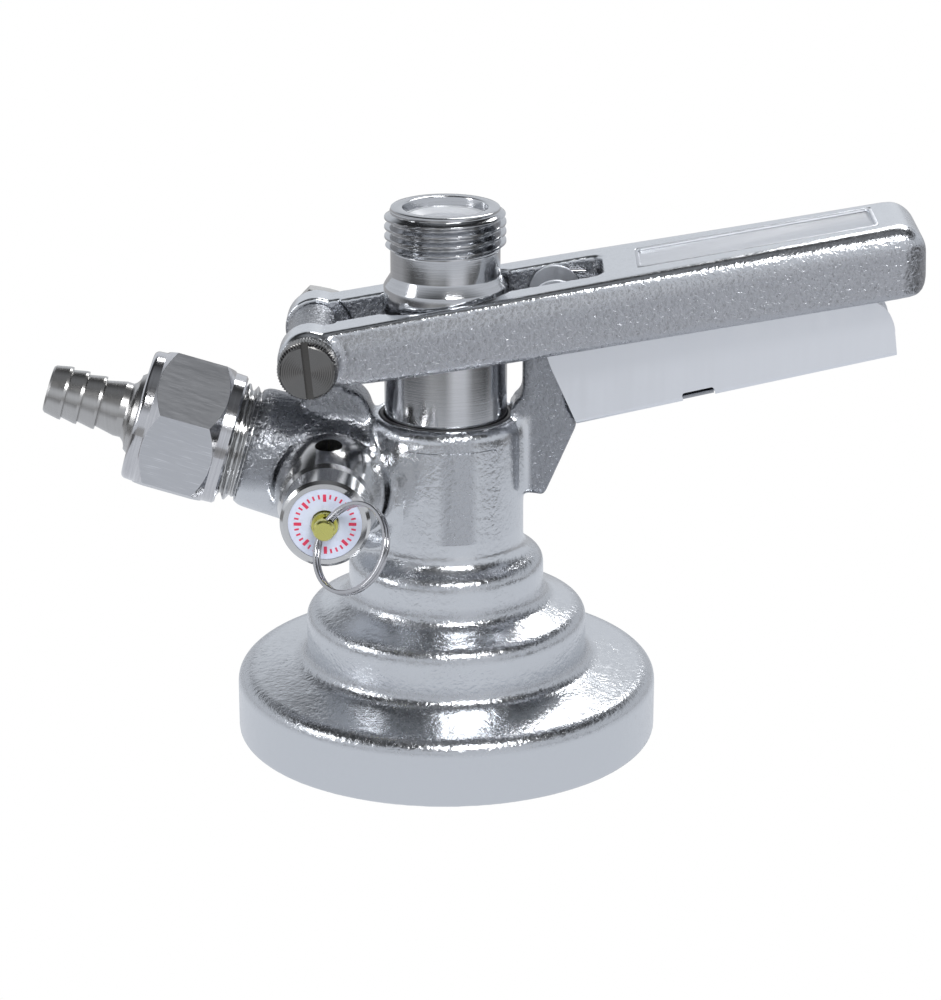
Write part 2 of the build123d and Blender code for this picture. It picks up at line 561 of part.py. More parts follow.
# ---------------------------------------------------------------- trigger
F0, F1 = (24.95, 63.75), (84.85, 77.45)
fl = sqrt((F1[0] - F0[0]) ** 2 + (F1[1] - F0[1]) ** 2)
fu = ((F1[0] - F0[0]) / fl, (F1[1] - F0[1]) / fl)
fn = (-fu[1], fu[0])
with BuildPart() as trigger:
    with BuildSketch(Plane.XZ):
        with BuildLine():
            Polyline((TP_X - 4.3, TP_Z - 2.2), (19.9, 74.9), F0, F1, (84.3, 81.8))
            RadiusArc((84.3, 81.8), (80.4, 87.9), -7.0)
            Polyline((80.4, 87.9), (60.0, 88.0), (32.0, 88.1), (TP_X + 4.6, TP_Z + 1.8))
            ThreePointArc((TP_X + 4.6, TP_Z + 1.8), (TP_X, TP_Z + 4.9), (TP_X - 4.3, TP_Z - 2.2))
        make_face()
    extrude(amount=TRG_HALF, both=True)
    # folded sheet: hollow above the web, web cut back at the latch end
    with BuildSketch(Plane.XZ):
        with BuildLine():
            a = (F0[0] + fu[0] * 2.1, F0[1] + fu[1] * 2.1)
            Polyline((a[0] + fn[0] * TRG_T, a[1] + fn[1] * TRG_T),
                     (F1[0] + fu[0] * 4 + fn[0] * TRG_T, F1[1] + fu[1] * 4 + fn[1] * TRG_T),
                     (92, 100), (10, 100), (10, 60), (a[0] - fn[0] * 2, a[1] - fn[1] * 2),
                     (a[0] + fn[0] * TRG_T, a[1] + fn[1] * TRG_T))
        make_face()
    extrude(amount=TRG_HALF - TRG_T, both=True, mode=Mode.SUBTRACT)
    # round outer edges of the fold
    fold = trigger.edges().filter_by(lambda e: abs(e.length - fl) < 2.6
                                     and abs(abs(e.center().Y) - TRG_HALF) < 0.01
                                     and e.center().Z < 72)
    fillet(fold, radius=0.9)
    # slots across both folds, with a bridge of web between them
    for sgn in (-1, 1):
        with BuildSketch(Plane(origin=(47.9, 0, 69.1 + 0.27), x_dir=(fu[0], 0, fu[1]),
                               z_dir=(0, sgn, 0))):
            with Locations((0, 0)):
                RectangleRounded(6.2, 2.6, 0.6)
        extrude(amount=8, mode=Mode.SUBTRACT)
    with BuildSketch(Plane(origin=(47.9, 0, 69.1), x_dir=(fu[0], 0, fu[1]),
                           z_dir=(-fu[1], 0, fu[0]))):
        Rectangle(8.6, 7.0)
    extrude(amount=TRG_T)
    # pin holes
    with BuildSketch(Plane.XZ):
        with Locations((TP_X, TP_Z)):
            Circle(TP_R + 0.06)
    extrude(amount=8, both=True, mode=Mode.SUBTRACT)
trigger.part.label = "trigger"
export_step(trigger.part, "parts/trigger.step")
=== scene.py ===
import bpy
import bmesh
import math
import numpy as np
from mathutils import Matrix, Vector


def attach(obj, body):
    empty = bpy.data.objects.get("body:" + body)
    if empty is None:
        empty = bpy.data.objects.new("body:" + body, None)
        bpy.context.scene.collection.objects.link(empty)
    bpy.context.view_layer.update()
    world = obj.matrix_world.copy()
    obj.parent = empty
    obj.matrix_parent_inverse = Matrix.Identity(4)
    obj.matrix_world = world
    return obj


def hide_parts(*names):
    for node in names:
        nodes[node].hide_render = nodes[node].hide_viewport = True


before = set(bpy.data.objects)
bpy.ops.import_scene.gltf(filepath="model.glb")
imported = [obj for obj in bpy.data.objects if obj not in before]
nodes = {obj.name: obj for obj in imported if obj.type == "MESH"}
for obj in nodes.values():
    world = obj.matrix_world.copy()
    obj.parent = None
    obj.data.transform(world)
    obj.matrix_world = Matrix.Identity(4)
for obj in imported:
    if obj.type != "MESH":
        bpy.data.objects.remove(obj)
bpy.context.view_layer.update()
scene = bpy.context.scene
MM = 0.001


# ------------------------------------------------------------------ camera
cam_data = bpy.data.cameras.new("camera")
cam = bpy.data.objects.new("camera", cam_data)
scene.collection.objects.link(cam)
cam.location = (0.01070, -0.57088, 0.24354)
back = Vector((0.0099, -0.9452, 0.3262)).normalized()
cam.rotation_euler = back.to_track_quat("Z", "Y").to_euler()
cam_data.sensor_width = 36.0
cam_data.lens = 112.7
cam_data.clip_start = 0.01
scene.camera = cam


# ------------------------------------------------------------------ node helpers
class Mat:
    """A node material with a short way to add nodes and links."""

    def __init__(self, name):
        self.m = bpy.data.materials.new(name)
        self.m.use_nodes = True
        self.t = self.m.node_tree
        self.p = self.t.nodes["Principled BSDF"]

    def n(self, kind, **kw):
        nd = self.t.nodes.new(kind)
        for k, v in kw.items():
            if k == "ins":
                for a, b in v.items():
                    nd.inputs[a].default_value = b
            else:
                setattr(nd, k, v)
        return nd

    def l(self, a, b):
        self.t.links.new(a, b)

    def set(self, **kw):
        for k, v in kw.items():
            self.p.inputs[k.replace("_", " ")].default_value = v

    def coords(self, scale=(1, 1, 1), rot=(0, 0, 0)):
        tc = self.n("ShaderNodeTexCoord")
        mp = self.n("ShaderNodeMapping")
        mp.inputs["Scale"].default_value = scale
        mp.inputs["Rotation"].default_value = rot
        self.l(tc.outputs["Object"], mp.inputs["Vector"])
        return mp.outputs["Vector"]

    def turned(self, rot, scale):
        """Object coordinates, turned first and stretched after."""
        mp = self.n("ShaderNodeMapping")
        mp.inputs["Scale"].default_value = scale
        self.l(self.coords((1, 1, 1), rot), mp.inputs["Vector"])
        return mp.outputs["Vector"]

    def noise(self, vec, scale, detail=3.0, rough=0.55, dist=0.0):
        nd = self.n("ShaderNodeTexNoise")
        nd.inputs["Scale"].default_value = scale
        nd.inputs["Detail"].default_value = detail
        nd.inputs["Roughness"].default_value = rough
        nd.inputs["Distortion"].default_value = dist
        self.l(vec, nd.inputs["Vector"])
        return nd.outputs["Fac"]

    def mix(self, fac, a, b):
        nd = self.n("ShaderNodeMix")
        nd.data_type = "RGBA"
        if isinstance(fac, (int, float)):
            nd.inputs[0].default_value = fac
        else:
            self.l(fac, nd.inputs[0])
        for sock, v in ((nd.inputs[6], a), (nd.inputs[7], b)):
            if isinstance(v, (tuple, list)):
                sock.default_value = v if len(v) == 4 else (*v, 1)
            else:
                self.l(v, sock)
        return nd.outputs[2]

    def voronoi(self, vec, scale, feature="SMOOTH_F1", smooth=0.6):
        nd = self.n("ShaderNodeTexVoronoi")
        nd.feature = feature
        nd.inputs["Scale"].default_value = scale
        if feature == "SMOOTH_F1":
            nd.inputs["Smoothness"].default_value = smooth
        self.l(vec, nd.inputs["Vector"])
        return nd.outputs["Distance"]

    def ramp(self, fac, stops):
        nd = self.n("ShaderNodeValToRGB")
        e = nd.color_ramp.elements
        while len(e) < len(stops):
            e.new(0.5)
        for el, (pos, col) in zip(e, stops):
            el.position = pos
            el.color = col if len(col) == 4 else (*col, 1)
        self.l(fac, nd.inputs["Fac"])
        return nd.outputs["Color"]

    def rng(self, fac, lo, hi, a=0.0, b=1.0):
        nd = self.n("ShaderNodeMapRange")
        nd.inputs["From Min"].default_value = a
        nd.inputs["From Max"].default_value = b
        nd.inputs["To Min"].default_value = lo
        nd.inputs["To Max"].default_value = hi
        self.l(fac, nd.inputs["Value"])
        return nd.outputs["Result"]

    def math(self, op, a, b=None):
        nd = self.n("ShaderNodeMath", operation=op)
        for i, v in enumerate((a, b)):
            if v is None:
                continue
            if isinstance(v, (int, float)):
                nd.inputs[i].default_value = v
            else:
                self.l(v, nd.inputs[i])
        return nd.outputs[0]

    def bump(self, height, dist, strength=1.0, prev=None):
        nd = self.n("ShaderNodeBump")
        nd.inputs["Distance"].default_value = dist
        if isinstance(strength, (int, float)):
            nd.inputs["Strength"].default_value = strength
        else:
            self.l(strength, nd.inputs["Strength"])
        self.l(height, nd.inputs["Height"])
        if prev is not None:
            self.l(prev, nd.inputs["Normal"])
        return nd.outputs["Normal"]

    def attr(self, name):
        nd = self.n("ShaderNodeAttribute")
        nd.attribute_name = name
        return nd.outputs["Fac"]


def cast_chrome(name, bright, dull, rough=0.14, pebble=1900.0, depth=0.00010, calm=(0.13, 0.42)):
    """Plated casting. The attribute "cast" gives how pebbled and dull the skin is, 0 to 1; on the barrel's front its
    darker, duller colour is painted shade.
    """
    m = Mat(name)
    m.set(Metallic=1.0)
    v = m.coords()
    mask = m.attr("cast")
    wav = m.noise(v, 110.0, 2.0)
    patch = m.noise(v, 70.0, 3.0, 0.6)
    fine = m.noise(v, pebble, 2.0, 0.5, 0.9)
    mid = m.noise(v, pebble * 0.45, 2.0, 0.5, 0.6)
    cell = m.voronoi(v, pebble * 0.8)
    pits = m.voronoi(v, 420.0, "F1")
    # calm areas keep a faint, patchy skin
    live = m.math("MAXIMUM", mask, m.rng(patch, calm[0], calm[1], 0.42, 0.66))
    m.l(m.mix(mask, bright, dull), m.p.inputs["Base Color"])
    rg = m.math("ADD", m.rng(fine, rough * 0.7, rough * 1.3, 0.3, 0.7), m.rng(mask, 0.0, 0.10))
    m.l(rg, m.p.inputs["Roughness"])
    h = m.math("ADD", m.math("MULTIPLY", fine, 0.9), m.math("MULTIPLY", cell, 0.5))
    h = m.math("ADD", h, m.math("MULTIPLY", mid, 0.9))
    nrm = m.bump(wav, 0.0005, 0.30)
    nrm = m.bump(h, depth, live, nrm)
    deep = m.ramp(pits, [(0.06, (0, 0, 0)), (0.14, (1, 1, 1))])
    nrm = m.bump(deep, 0.00005, m.rng(mask, 0.02, 0.08), nrm)
    m.l(nrm, m.p.inputs["Normal"])
    return m.m


def turned_steel(name, color, rough=0.2, axis="Z", lines=4200.0, line_depth=0.00001, var=0.10,
                 aniso=0.0):
    """Turned metal: fine grooves round the given axis's direction of travel."""
    m = Mat(name)
    m.set(Metallic=1.0)
    sc = {"X": (1, 0.02, 0.02), "Y": (0.02, 1, 0.02), "Z": (0.02, 0.02, 1)}[axis]
    v = m.coords(sc)
    g = m.noise(v, lines, 4.0, 0.7)
    big = m.noise(m.coords(), 90.0, 3.0)
    m.l(m.ramp(g, [(0.25, [c * (1 - var) for c in color]), (0.75, [min(1, c * (1 + var * 0.4)) for c in color])]),
        m.p.inputs["Base Color"])
    m.l(m.rng(big, rough * 0.8, rough * 1.25, 0.3, 0.7), m.p.inputs["Roughness"])
    m.l(m.bump(g, line_depth, 0.6), m.p.inputs["Normal"])
    return m.m


def brushed(name, color, rough=0.28, rot=(0, 0, 0), stretch=(0.03, 1, 1), scale=2500.0,
            depth=0.000015, var=0.14):
    """Brushed sheet or bar: fine scratches along one direction."""
    m = Mat(name)
    m.set(Metallic=1.0)
    g = m.noise(m.turned(rot, stretch), scale, 5.0, 0.7)
    cloud = m.noise(m.coords(), 120.0, 3.0)
    c = m.ramp(g, [(0.2, [k * (1 - var) for k in color]), (0.8, color)])
    m.l(c, m.p.inputs["Base Color"])
    m.l(m.math("ADD", m.rng(g, rough * 0.8, rough * 1.15, 0.25, 0.75), m.rng(cloud, -0.03, 0.03, 0.3, 0.7)),
        m.p.inputs["Roughness"])
    m.l(m.bump(g, depth, 0.6), m.p.inputs["Normal"])
    return m.m


def nut_steel(name):
    """Hex bar with scratched flats and turned, brighter chamfers and collars."""
    m = Mat(name)
    m.set(Metallic=1.0)
    rot = (0, math.radians(-16.5), 0)
    tc = m.n("ShaderNodeTexCoord")
    sub = m.n("ShaderNodeVectorMath", operation="SUBTRACT")
    m.l(tc.outputs["Object"], sub.inputs[0])
    sub.inputs[1].default_value = tuple(INL_O)
    dot = m.n("ShaderNodeVectorMath", operation="DOT_PRODUCT")
    m.l(sub.outputs[0], dot.inputs[0])
    dot.inputs[1].default_value = tuple(INL_D)
    ln = m.n("ShaderNodeVectorMath", operation="LENGTH")
    m.l(sub.outputs[0], ln.inputs[0])
    t = dot.outputs["Value"]
    r2 = m.math("SUBTRACT", m.math("MULTIPLY", ln.outputs["Value"], ln.outputs["Value"]),
                m.math("MULTIPLY", t, t))
    r = m.math("SQRT", m.math("MAXIMUM", r2, 0.0))
    turned = m.rng(m.math("ADD", m.math("ABSOLUTE", t), r), 0.0, 1.0, 0.01947, 0.01953)
    scr = m.noise(m.turned(rot, (0.035, 1, 1)), 5200.0, 2.0, 0.6)
    long = m.noise(m.turned((0, math.radians(-24), 0), (0.05, 1, 1)), 1500.0, 4.0, 0.75)
    lines = m.ramp(scr, [(0.60, (0, 0, 0)), (0.70, (1, 1, 1))])
    flat = m.mix(lines, m.ramp(long, [(0.25, (0.50, 0.51, 0.535)), (0.75, (0.56, 0.57, 0.595))]),
                 (0.70, 0.71, 0.74))
    ring = m.noise(m.turned(rot, (1, 0.02, 0.02)), 3600.0, 4.0, 0.7)
    bright = m.ramp(ring, [(0.3, (0.52, 0.52, 0.54)), (0.7, (0.66, 0.66, 0.68))])
    m.l(m.mix(turned, flat, bright), m.p.inputs["Base Color"])
    m.l(m.math("ADD", m.rng(turned, 0.36, 0.15), m.rng(long, -0.04, 0.04, 0.3, 0.7)),
        m.p.inputs["Roughness"])
    nrm = m.bump(long, 0.00001, 0.2)
    nrm = m.bump(scr, 0.000006, 0.25, nrm)
    m.l(nrm, m.p.inputs["Normal"])
    return m.m


def rubber(name, color=(0.02, 0.02, 0.022), rough=0.45):
    m = Mat(name)
    v = m.coords()
    g = m.noise(v, 1800.0, 4.0)
    m.l(m.ramp(g, [(0.3, color), (0.8, [c * 1.8 for c in color])]), m.p.inputs["Base Color"])
    m.l(m.rng(g, rough * 0.8, rough * 1.2, 0.3, 0.7), m.p.inputs["Roughness"])
    m.l(m.bump(g, 0.00002, 0.5), m.p.inputs["Normal"])
    return m.m


def plastic(name, color, rough=0.35):
    m = Mat(name)
    v = m.coords()
    g = m.noise(v, 700.0, 4.0)
    m.l(m.ramp(g, [(0.3, [c * 0.95 for c in color]), (0.7, color)]), m.p.inputs["Base Color"])
    m.l(m.rng(g, rough * 0.85, rough * 1.15, 0.3, 0.7), m.p.inputs["Roughness"])
    m.l(m.bump(g, 0.00001, 0.4), m.p.inputs["Normal"])
    return m.m


# ------------------------------------------------------------------ materials
INL_O = np.array([-50.06, 0, 61.18]) * MM
INL_D = np.array([-0.95882, 0, 0.28402])
ALONG_INLET = (0, math.radians(-16.5), 0)

M = {}
M["cast"] = cast_chrome("cast_chrome", (0.70, 0.72, 0.75), (0.30, 0.31, 0.335), 0.20, 1300.0, 0.00024)
M["cast_handle"] = cast_chrome("handle_chrome", (0.72, 0.74, 0.77), (0.44, 0.45, 0.48), 0.20, 1400.0, 0.00022, (0.01, 0.03))
M["grip"] = brushed("grip_chrome", (0.74, 0.76, 0.80), 0.42, stretch=(0.05, 1, 1), scale=900.0)
M["polished"] = turned_steel("polished_steel", (0.56, 0.57, 0.59), 0.13)
M["nut"] = nut_steel("nut_steel")
M["brushed"] = brushed("brushed_steel", (0.62, 0.61, 0.59), 0.24)
M["barb"] = turned_steel("barb_steel", (0.50, 0.495, 0.49), 0.27, "X", 3600.0)
M["spigot"] = turned_steel("spigot_steel", (0.55, 0.55, 0.55), 0.16, "X", 3000.0)
M["sheet"] = brushed("sheet_steel", (0.80, 0.82, 0.86), 0.42, stretch=(1, 0.05, 0.05), scale=900.0,
                     depth=0.000003, var=0.03)
M["nickel"] = turned_steel("nickel", (0.66, 0.66, 0.66), 0.13, "Y", 3000.0)
M["screw"] = turned_steel("screw_steel", (0.17, 0.167, 0.163), 0.22, "Y", 3000.0)
M["wire"] = turned_steel("wire_steel", (0.50, 0.50, 0.52), 0.10, "Z", 3000.0)
M["brass"] = turned_steel("brass", (0.70, 0.68, 0.22), 0.26, "Y", 3000.0)
# the lip's dark colour is painted shade inside the fold's slots
M["lip"] = turned_steel("lip_steel_painted_shade", (0.36, 0.37, 0.39), 0.16, "X", 2000.0)
M["rubber"] = rubber("rubber")
M["white"] = plastic("white_plastic", (0.80, 0.82, 0.86))
M["disc"] = plastic("disc_white", (0.74, 0.79, 0.95), 0.28)
M["red"] = plastic("tick_red", (0.80, 0.05, 0.12), 0.4)

CAD_MATS = {
    "body_casting": "cast", "probe_wiper": "rubber", "keg_seal": "rubber", "inlet_nut": "nut",
    "inlet_washer": "rubber", "inlet_barb": "barb", "gas_check_valve": "rubber",
    "relief_housing": "nickel", "relief_cap": "nickel", "relief_disc": "disc",
    "relief_spring": "wire", "handle_casting": "cast_handle", "pivot_screw": "screw",
    "pivot_nut": "brushed", "trigger_pins": "polished", "trigger_springs": "wire",
    "trigger": "sheet", "probe_tube": "polished", "probe_tip_seal": "rubber",
    "probe_oring": "rubber", "outlet_fitting": "polished", "outlet_liner": "white",
    "check_ball": "polished", "relief_stem": "brass", "relief_poppet": "rubber",
    "pull_ring": "wire",
}
for name, key in CAD_MATS.items():
    ob = nodes[name]
    ob.data.materials.clear()
    ob.data.materials.append(M[key])


# ------------------------------------------------------------------ cast pieces
def remeshed(node, name, voxel):
    """A CAD node's shape as an even mesh, ready to be softened like a casting."""
    src = nodes[node]
    me = src.data.copy()
    bm = bmesh.new()
    bm.from_mesh(me)
    bmesh.ops.remove_doubles(bm, verts=bm.verts, dist=1e-6)
    bm.to_mesh(me)
    bm.free()
    ob = bpy.data.objects.new(name, me)
    scene.collection.objects.link(ob)
    mod = ob.modifiers.new("r", "REMESH")
    mod.mode = "VOXEL"
    mod.voxel_size = voxel
    mod.adaptivity = 0.0
    dg = bpy.context.evaluated_depsgraph_get()
    new = bpy.data.meshes.new_from_object(ob.evaluated_get(dg))
    ob.modifiers.clear()
    ob.data = new
    return ob


def soften(me, weight, rounds, lam=0.5):
    """Laplacian smoothing of a mesh, weighted per vertex."""
    n = len(me.vertices)
    co = np.empty(n * 3)
    me.vertices.foreach_get("co", co)
    co = co.reshape(-1, 3)
    ed = np.empty(len(me.edges) * 2, np.int64)
    me.edges.foreach_get("vertices", ed)
    a, b = ed[0::2], ed[1::2]
    deg = np.bincount(a, minlength=n) + np.bincount(b, minlength=n)
    deg = np.maximum(deg, 1)
    w = weight(co)
    for k in range(rounds):
        s = np.zeros_like(co)
        for i in range(3):
            s[:, i] = np.bincount(a, co[b, i], n) + np.bincount(b, co[a, i], n)
        s /= deg[:, None]
        act = np.clip(w - k, 0, 1)[:, None]
        co += lam * act * (s - co)
    me.vertices.foreach_set("co", co.ravel())
    me.update()
    return co


def mask_attr(me, values, name="cast"):
    at = me.attributes.new(name, "FLOAT", "POINT")
    at.data.foreach_set("value", np.asarray(values, np.float32))


def smooth_shade(ob):
    ob.data.polygons.foreach_set("use_smooth", np.ones(len(ob.data.polygons), bool))
    ob.data.update()


def step(x, a, b):
    t = np.clip((x - a) / (b - a), 0, 1)
    return t * t * (3 - 2 * t)


body = remeshed("body_casting", "body_skin", 0.00045)


def body_weight(co):
    x, y, z = co[:, 0] / MM, co[:, 1] / MM, co[:, 2] / MM
    r = np.hypot(x, y)
    w = np.full(len(co), 5.0)
    # ears and bosses get the soft edges and blends of a casting
    ear = step(z, 62.0, 66.0) * 1.0
    out = step(r, 15.2, 16.4) * step(z, 38.0, 41.0)
    w += 14.0 * np.maximum(ear, out)
    near = step(-np.abs(r - 15.2), -2.5, -0.8) * step(z, 40, 43) * (
        (np.abs(y) < 12) & ((x > 8) | (x < -4)))
    w = np.maximum(w, 5 + 22 * near)
    hub = (np.hypot(x + 25.0, z - 78.4) < 5.6) & (np.abs(y) > 4.2)
    w[hub] = 3.0
    inside = (r < 13.3) & (z < 66)
    w[inside] = 2.0
    w[z < 12.0] = 4.0
    return w


co = soften(body.data, body_weight, 28)
# inlet spigot: sink the remeshed thread under the crisp one
rel = co - INL_O
t_ax = rel @ INL_D
rad = rel - np.outer(t_ax, INL_D)
rr = np.linalg.norm(rad, axis=1)
sel = (t_ax > -12.75 * MM) & (rr > 9.2 * MM)
co[sel] -= rad[sel] / rr[sel, None] * np.maximum(rr[sel] - 10.05 * MM, 0)[:, None]
body.data.vertices.foreach_set("co", co.ravel())
x, y, z = co.T / MM
r = np.hypot(x, y)
az = np.degrees(np.arctan2(x, -y))
dist_in = np.linalg.norm(rad, axis=1) / MM
on_boss = step(t_ax / MM, -34, -28) * step(-dist_in, -14.5, -12.4)
cast = np.maximum.reduce([
    # ears and the web under the pivot
    step(z, 63.6, 65.6) * step(np.abs(x), 11.0, 12.5),
    step(x, 15.3, 16.6) * step(z, 46.0, 48.0),
    # inlet boss: rough, calmer underneath
    on_boss * (0.14 + 0.80 * step((rad[:, 2] / MM), -5.0, 2.0)),
    # the left web, down to the boss
    0.95 * step(-x, 13.5, 16.0) * step(z, 50.0, 55.0),
    # front of the barrel: rougher and bumpier, with a duller, darker colour that is painted shade
    0.62 * step(-np.abs(az - 10.0), -19.0, -7.0) * step(z, 40, 46) * (r < 15.6),
    0.18 * step(z, 38, 44),
    0.13 + 0 * z,
])
# edges of the ring shoulders are rougher than their flats
for zc, rc in ((12.3, 39.6), (16.0, 28.2), (25.0, 26.3), (28.6, 19.6), (36.2, 17.9)):
    cast = np.maximum(cast, 0.42 * step(-np.hypot(z - zc, r - rc), -3.6, -0.8))
cast[(r < 13.3)] = 0.0
mask_attr(body.data, cast)
body.data.materials.clear()
body.data.materials.append(M["cast"])
smooth_shade(body)
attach(body, "base")
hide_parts("body_casting")

handle = remeshed("handle_casting", "handle_skin", 0.00035)


def handle_weight(co):
    x, y, z = co[:, 0] / MM, co[:, 1] / MM, co[:, 2] / MM
    w = np.full(len(co), 6.0)
    w += 16 * step(x, 82.5, 86.5)
    top_ = 90.69 + 0.1845 * (x - 14.0)
    w += 90 * step(z - top_, -5.0, -2.5) * step(x, 15, 70) * step(np.abs(y), 7.5, 10.0)
    piv = np.hypot(x + 25.0, z - 78.4) < 4.0
    w[piv] = 1.0
    w[(np.abs(y) < 12.4) & (x < 24) & (np.abs(y) > 6.5)] = 5.0
    return w


co = soften(handle.data, handle_weight, 112)
x, y, z = co.T / MM
top = 90.69 + 0.1845 * (x - 14.0)
cast = 1.0 - 0.50 * step(z - top, -5.5, -2.2)
cast -= 0.46 * step(z - top, -1.0, -0.25)
# the recessed panel, cut cleanly after the smoothing
al, ac = math.cos(0.1824), math.sin(0.1824)
px = np.abs((x - 58.0) * al + (z - (90.69 + 0.1845 * 44.0)) * ac)
on_top = (z - top > -1.1) & (px < 24.5) & (np.abs(y) < 8.0)
in_rect = (px < 22.3) & (np.abs(y) < 6.55)
new_z = np.where(in_rect, top - 0.70, top - 0.02)
z = np.where(on_top, new_z, z)
co[:, 2] = z * MM
handle.data.vertices.foreach_set("co", co.ravel())
cast[on_top] = 0.04
mask_attr(handle.data, cast)
handle.data.materials.clear()
handle.data.materials.append(M["cast_handle"])
smooth_shade(handle)
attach(handle, "handle")
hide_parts("handle_casting")


def grip_recess():
    """The shallow recess on the grip's flat top, with a narrow rim over the skin's cut edge."""
    prof = [(0.75, -0.06), (0.62, 0.008), (0.06, 0.008), (0.0, -0.03), (-0.10, -0.36), (-0.20, -0.42)]
    hx, hy, rc, k = 22.0, 6.25, 0.9, 8
    loops = []
    for off, dz in prof:
        loop = []
        for cx, cy, a0 in ((1, 1, 0), (-1, 1, 90), (-1, -1, 180), (1, -1, 270)):
            for i in range(k + 1):
                a = math.radians(a0 + 90 * i / k)
                rr = rc + off
                loop.append((cx * (hx - rc) + rr * math.cos(a), cy * (hy - rc) + rr * math.sin(a), dz))
        loops.append(loop)
    verts, faces = [], []
    for loop in loops:
        for u, v, dz in loop:
            xx = 58.0 + u * al
            zz = 90.69 + 0.1845 * (xx - 14.0) + dz
            verts.append((xx * MM, v * MM, zz * MM))
    m = len(loops[0])
    for j in range(len(loops) - 1):
        for i in range(m):
            a, b = j * m + i, j * m + (i + 1) % m
            faces.append((a, b, b + m, a + m))
    base = (len(loops) - 1) * m
    faces.append(tuple(base + i for i in range(m)))
    me = bpy.data.meshes.new("grip_recess")
    me.from_pydata(verts, [], faces)
    bm = bmesh.new()
    bm.from_mesh(me)
    bmesh.ops.recalc_face_normals(bm, faces=bm.faces)
    bm.to_mesh(me)
    bm.free()
    up = me.polygons[len(me.polygons) - 1].normal.z
    if up < 0:
        me.flip_normals()
    ob = bpy.data.objects.new("grip_recess", me)
    scene.collection.objects.link(ob)
    mask_attr(me, [0.02] * len(me.vertices))
    me.materials.append(M["grip"])
    shade_auto(ob, 30)
    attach(ob, "handle")


# ------------------------------------------------------------------ threads
def lathe(name, prof, origin, axis, seg=256, helix=None, closed=True):
    """Revolves (radius, height) points in mm round an axis. helix = (lo, hi, pitch, core, crest)
    turns the stretch between two heights into a real thread."""
    axis = Vector(axis).normalized()
    ux = axis.orthogonal().normalized()
    uy = axis.cross(ux)
    o = Vector(origin)
    verts, faces = [], []
    n = len(prof)
    for i in range(seg):
        th = 2 * math.pi * i / seg
        d = ux * math.cos(th) + uy * math.sin(th)
        for (r, h) in prof:
            if helix and helix[0] <= h <= helix[1] and r > helix[3] - 0.01:
                lo, hi, pitch, core, crest = helix
                ph = (h - lo) / pitch - th / (2 * math.pi)
                f = abs(ph - round(ph)) * 2          # 0 on the crest, 1 in the root
                k = min(1.0, max(0.0, (f - 0.20) / 0.66))
                rr = crest + (core - crest) * k
                ease = min(1.0, (h - lo) / 1.0, (hi - h) / 0.9)
                rr = core + (rr - core) * max(0.0, ease)
                rr = min(rr, crest)
                r = max(rr, core)
            verts.append((o + axis * (h * MM) + d * (r * MM))[:])
    m = n if closed else n - 1
    for i in range(seg):
        a, b = i * n, ((i + 1) % seg) * n
        for j in range(m):
            k = (j + 1) % n
            faces.append((a + j, b + j, b + k, a + k))
    me = bpy.data.meshes.new(name)
    me.from_pydata(verts, [], faces)
    bm = bmesh.new()
    bm.from_mesh(me)
    bmesh.ops.recalc_face_normals(bm, faces=bm.faces)
    bm.to_mesh(me)
    bm.free()
    ob = bpy.data.objects.new(name, me)
    scene.collection.objects.link(ob)
    return ob


def shade_auto(ob, angle=35):
    bm = bmesh.new()
    bm.from_mesh(ob.data)
    for f in bm.faces:
        f.smooth = True
    for e in bm.edges:
        if len(e.link_faces) == 2 and e.calc_face_angle(0) > math.radians(angle):
            e.smooth = False
    bm.to_mesh(ob.data)
    bm.free()


def dense(points, step_mm):
    out = []
    for (r0, h0), (r1, h1) in zip(points, points[1:]):
        k = max(1, int(math.hypot(r1 - r0, h1 - h0) / step_mm))
        for i in range(k):
            out.append((r0 + (r1 - r0) * i / k, h0 + (h1 - h0) * i / k))
    out.append(points[-1])
    return out


spigot = lathe("inlet_thread", [(9.3, -12.9), (9.3, 0.9)] + dense([(10.3, 0.9), (10.3, -12.9)], 0.09),
               INL_O, INL_D, 200, (-12.5, 0.9, 1.814, 10.3, 11.42))
spigot.data.materials.append(M["spigot"])
shade_auto(spigot, 50)
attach(spigot, "base")

fit = [(5.5, 66.15), (7.9, 66.15), (8.0, 66.4), (8.0, 78.05), (8.6, 78.2), (8.6, 86.0), (11.3, 86.0),
       (11.6, 86.08), (11.68, 86.3), (11.68, 89.5), (11.58, 89.75), (10.42, 91.6), (10.36, 91.9),
       (10.36, 96.3), (10.3, 96.5)]
fit += dense([(10.3, 96.5), (10.3, 104.2)], 0.07)
fit += [(10.25, 104.5), (10.1, 104.6), (8.35, 104.6), (8.1, 104.5), (8.0, 104.3), (8.0, 89.4), (5.6, 88.0),
        (5.5, 87.8)]
outlet = lathe("outlet_skin", fit, (0, 0, 0), (0, 0, 1), 320, (96.5, 104.15, 1.814, 10.3, 11.455))
outlet.data.materials.append(M["polished"])
shade_auto(outlet, 38)
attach(outlet, "probe")
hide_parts("outlet_fitting")


# ------------------------------------------------------------------ pull ring: two flat turns
RING_T = Vector((0.475, 0.184, 0.859)).normalized()
RING_D = Vector((0.624, -0.759, -0.182)).normalized()
RING_N = RING_D.cross(RING_T)
PR_O = (Vector((-21.6, -33.3, 52.4)) + RING_D * 8.3) * MM


def turn_profile(c):
    q = []
    for sx, sy in ((1, -1), (1, 1), (-1, 1), (-1, -1)):
        for k in range(5):
            a0 = {(1, -1): -90, (1, 1): 0, (-1, 1): 90, (-1, -1): 180}[(sx, sy)]
            a = math.radians(a0 + 22.5 * k)
            q.append((8.3 + sx * 0.235 + 0.18 * math.cos(a), c + sy * 0.195 + 0.18 * math.sin(a)))
    return q


